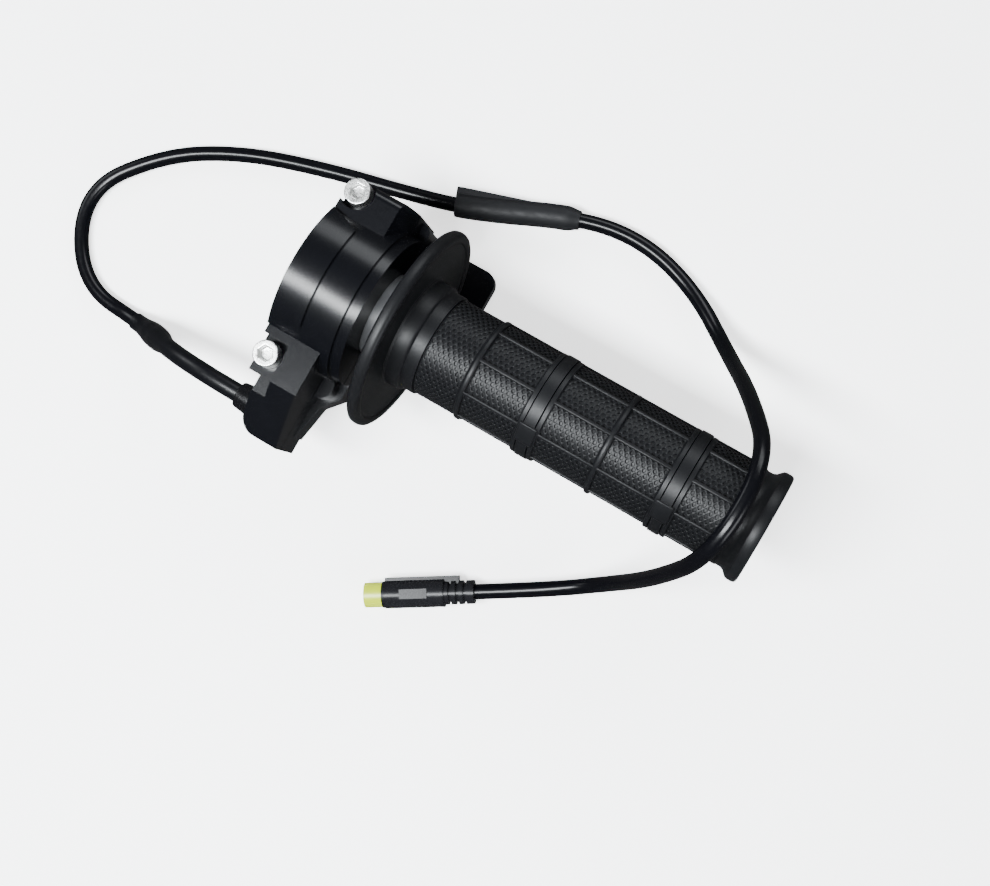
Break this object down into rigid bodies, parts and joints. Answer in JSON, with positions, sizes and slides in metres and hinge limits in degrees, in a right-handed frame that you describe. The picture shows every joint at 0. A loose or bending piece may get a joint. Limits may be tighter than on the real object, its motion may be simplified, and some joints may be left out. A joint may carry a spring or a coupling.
{
  "type": "twist throttle",
  "caption": "Twist throttle for an electric bicycle: a split clamp housing, a sprung ribbed rubber grip with a flange disc, and a sensor lead ending in a round plug.",
  "frame": {"origin": "on the handlebar's axis, at the inboard mouth of the housing's clamp bore", "axes": "+X along the handlebar towards the grip's outer end, +Z towards the clamp screw heads; the housing's flat back faces -Z"},
  "size_m": [0.2438, 0.1433, 0.0692],
  "materials": {
    "cast": "satin black",
    "screw": "bright zinc",
    "gland": "glossy black",
    "washer": "natural",
    "spring": "drawn wire",
    "felt": "felt",
    "board": "green lacquer",
    "chip": "moulded",
    "wire": "coloured insulation",
    "tube": "moulded",
    "magnet": "nickel plated",
    "rubber": "matte, dimpled",
    "sleeve": "shrink sleeve",
    "cable": "smooth jacket",
    "plug": "moulded",
    "nose": "yellow-green",
    "contact": "plated",
    "seal": "matte"
  },
  "bodies": {
    "housing": {"housing_front": "cast", "housing_rear": "cast", "clamp_screw_upper": "screw", "clamp_screw_lower": "screw", "cable_gland": "gland", "thrust_washer": "washer", "return_spring": "spring", "dust_seal": "felt", "sensor_board": "board", "hall_sensor": "chip", "board_screws": "screw", "sensor_wires": "wire", "lead_inner": "sleeve", "splice_sleeve_inner": "sleeve", "lead_middle": "cable", "splice_sleeve_outer": "sleeve", "lead_outer": "cable", "connector_body": "plug", "connector_insert": "nose", "connector_contacts": "contact", "connector_seal": "seal"},
    "throttle": {"throttle_tube": "tube", "magnet_carrier": "tube", "magnet_pair": "magnet", "flange_disc": "rubber", "grip_sleeve": "rubber"}
  },
  "joints": [
    {"name": "throttle_twist", "type": "hinge", "parent": "housing", "child": "throttle", "pos_m": [0, 0, 0], "axis": [1, 0, 0], "range_deg": [0, 70], "stiffness_Nm_per_rad": 0.2, "springref_deg": -20.05}
  ]
}
